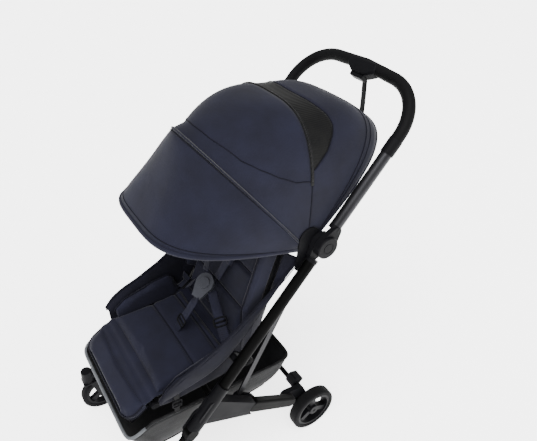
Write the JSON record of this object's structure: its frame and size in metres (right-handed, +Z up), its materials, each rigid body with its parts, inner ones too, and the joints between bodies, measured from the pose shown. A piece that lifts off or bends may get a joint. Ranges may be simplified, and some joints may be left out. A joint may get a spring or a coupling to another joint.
{
  "type": "baby stroller",
  "caption": "Compact folding baby stroller with a reclining padded seat, extendable canopy, five-point harness, swivelling front wheels and a storage basket.",
  "frame": {"origin": "centre of the footprint, on the ground under the wheels", "axes": "+Z up; the child faces -Y; +X is the child's left"},
  "size_m": [0.45, 0.85, 1.0094],
  "materials": {
    "frame_black": "satin black powder coat",
    "frame_grey": "satin anthracite powder coat",
    "plastic_black": "fine-textured black moulding",
    "button_grey": "textured dark grey moulding",
    "grip_black": "smooth black leatherette",
    "bow_black": "black plastic strip",
    "board_black": "plain black board",
    "cloth_navy": "fine plain-woven navy polyester",
    "mesh_black": "black ventilation mesh",
    "cloth_black": "black ripstop polyester",
    "webbing_navy": "navy harness webbing",
    "webbing_black": "black webbing",
    "buckle_grey": "satin dark grey moulding",
    "wheel_black": "black nylon",
    "tyre_black": "solid black foam rubber"
  },
  "bodies": {
    "chassis": {"main_tube_left": "frame_black", "main_tube_right": "frame_black", "hub_bases": "plastic_black", "junction_left": "plastic_black", "junction_right": "plastic_black", "cross_bar": "frame_black", "canopy_mounts": "plastic_black", "canopy_rear": "cloth_navy", "seat_board": "board_black", "seat_cushion": "cloth_navy", "hip_pads": "cloth_navy", "side_cloths": "cloth_navy", "seat_brackets": "plastic_black", "legrest_hinges": "plastic_black", "basket": "cloth_black", "harness_buckle": "buckle_grey", "crotch_strap": "webbing_navy", "waist_straps": "webbing_navy", "shoulder_straps": "webbing_navy"},
    "handle": {"hub_arms": "plastic_black", "upper_tubes": "frame_grey", "hub_caps": "plastic_black", "handle_collars": "plastic_black", "handle_grip": "grip_black", "release_housing": "plastic_black", "handle_strap": "webbing_black"},
    "release_button": {"release_button": "button_grey"},
    "rear_frame": {"rear_arm_left": "frame_black", "rear_arm_right": "frame_black", "leg_cranks": "plastic_black", "rear_brackets": "plastic_black", "axle_bar": "frame_black"},
    "struts": {"struts": "frame_grey"},
    "front_legs": {"front_leg_left": "frame_black", "front_leg_right": "frame_black", "caster_housings": "plastic_black"},
    "caster_left": {"caster_fork_left": "plastic_black"},
    "caster_right": {"caster_fork_right": "plastic_black"},
    "front_wheel_left": {"front_wheel_left": "wheel_black", "front_tyre_left": "tyre_black"},
    "front_wheel_right": {"front_wheel_right": "wheel_black", "front_tyre_right": "tyre_black"},
    "rear_wheel_left": {"rear_wheel_left": "wheel_black", "rear_tyre_left": "tyre_black"},
    "rear_wheel_right": {"rear_wheel_right": "wheel_black", "rear_tyre_right": "tyre_black"},
    "brake": {"brake_pedal": "plastic_black"},
    "backrest": {"back_board": "board_black", "back_cushion": "cloth_navy", "back_bolsters": "cloth_navy"},
    "legrest": {"legrest_board": "board_black", "legrest_pad": "cloth_navy"},
    "canopy_front": {"canopy_front_bow": "bow_black", "canopy_visor": "cloth_navy"},
    "canopy_ridge": {"canopy_ridge_bow": "bow_black", "canopy_roof": "cloth_navy"},
    "canopy_middle": {"canopy_middle_bow": "bow_black", "canopy_window": "mesh_black"},
    "buckle_button": {"buckle_button": "buckle_grey"}
  },
  "joints": [
    {"name": "frame_fold", "type": "hinge", "parent": "chassis", "child": "handle", "pos_m": [0, 0.13499, 0.689], "axis": [1, 0, 0], "range_deg": [0, 135], "deforming": ["handle_strap"]},
    {"name": "rear_leg_fold", "type": "hinge", "parent": "chassis", "child": "rear_frame", "pos_m": [0, -0.06201, 0.236], "axis": [1, 0, 0], "range_deg": [0, 75]},
    {"name": "front_leg_fold", "type": "hinge", "parent": "chassis", "child": "front_legs", "pos_m": [0, -0.2424, 0.26987], "axis": [1, 0, 0], "range_deg": [0, 56]},
    {"name": "strut_fold", "type": "hinge", "parent": "rear_frame", "child": "struts", "pos_m": [0, -0.09801, 0.279], "axis": [1, 0, 0], "range_deg": [-69.95, 0]},
    {"name": "backrest_recline", "type": "hinge", "parent": "chassis", "child": "backrest", "pos_m": [0, -0.05501, 0.375], "axis": [1, 0, 0], "range_deg": [-40, 0], "deforming": ["shoulder_straps", "waist_straps"]},
    {"name": "legrest_tilt", "type": "hinge", "parent": "chassis", "child": "legrest", "pos_m": [0, -0.30301, 0.362], "axis": [1, 0, 0], "range_deg": [-30, 30]},
    {"name": "canopy_fold", "type": "hinge", "parent": "chassis", "child": "canopy_front", "pos_m": [0, 0.10199, 0.678], "axis": [-1, 0, 0], "range_deg": [0, 80], "deforming": ["canopy_visor"]},
    {"name": "canopy_ridge_fold", "type": "hinge", "parent": "chassis", "child": "canopy_ridge", "pos_m": [0, 0.10199, 0.678], "axis": [-1, 0, 0], "range_deg": [0, 54.2], "deforming": ["canopy_roof"]},
    {"name": "canopy_middle_fold", "type": "hinge", "parent": "chassis", "child": "canopy_middle", "pos_m": [0, 0.10199, 0.678], "axis": [-1, 0, 0], "range_deg": [0, 24.2], "deforming": ["canopy_window"]},
    {"name": "brake_press", "type": "hinge", "parent": "rear_frame", "child": "brake", "pos_m": [0, 0.10399, 0.152], "axis": [1, 0, 0], "range_deg": [-18, 0]},
    {"name": "release_press", "type": "slide", "parent": "handle", "child": "release_button", "axis": [0, 0.6691, 0.7431], "range_m": [0, 0.004], "stiffness_N_per_m": 600},
    {"name": "buckle_press", "type": "slide", "parent": "chassis", "child": "buckle_button", "axis": [-0.2505, 0.5712, -0.7816], "range_m": [0, 0.002], "stiffness_N_per_m": 800},
    {"name": "rear_wheel_left_spin", "type": "hinge", "parent": "rear_frame", "child": "rear_wheel_left", "pos_m": [0.209, 0.13499, 0.071], "axis": [1, 0, 0], "continuous": true},
    {"name": "caster_left_swivel", "type": "hinge", "parent": "front_legs", "child": "caster_left", "pos_m": [0.204, -0.3925, 0.15], "axis": [0, 0, 1], "continuous": true},
    {"name": "front_wheel_left_spin", "type": "hinge", "parent": "caster_left", "child": "front_wheel_left", "pos_m": [0.204, -0.3625, 0.0625], "axis": [1, 0, 0], "continuous": true},
    {"name": "rear_wheel_right_spin", "type": "hinge", "parent": "rear_frame", "child": "rear_wheel_right", "pos_m": [-0.209, 0.13499, 0.071], "axis": [1, 0, 0], "continuous": true},
    {"name": "caster_right_swivel", "type": "hinge", "parent": "front_legs", "child": "caster_right", "pos_m": [-0.204, -0.3925, 0.15], "axis": [0, 0, 1], "continuous": true},
    {"name": "front_wheel_right_spin", "type": "hinge", "parent": "caster_right", "child": "front_wheel_right", "pos_m": [-0.204, -0.3625, 0.0625], "axis": [1, 0, 0], "continuous": true}
  ],
  "couplings": [
    {"joint": "rear_leg_fold", "follows": "frame_fold", "ratio": 0.5555},
    {"joint": "front_leg_fold", "follows": "frame_fold", "ratio": 0.4147},
    {"joint": "strut_fold", "follows": "frame_fold", "ratio": -0.5144},
    {"joint": "canopy_ridge_fold", "follows": "canopy_fold", "ratio": 0.675},
    {"joint": "canopy_middle_fold", "follows": "canopy_fold", "ratio": 0.3}
  ]
}
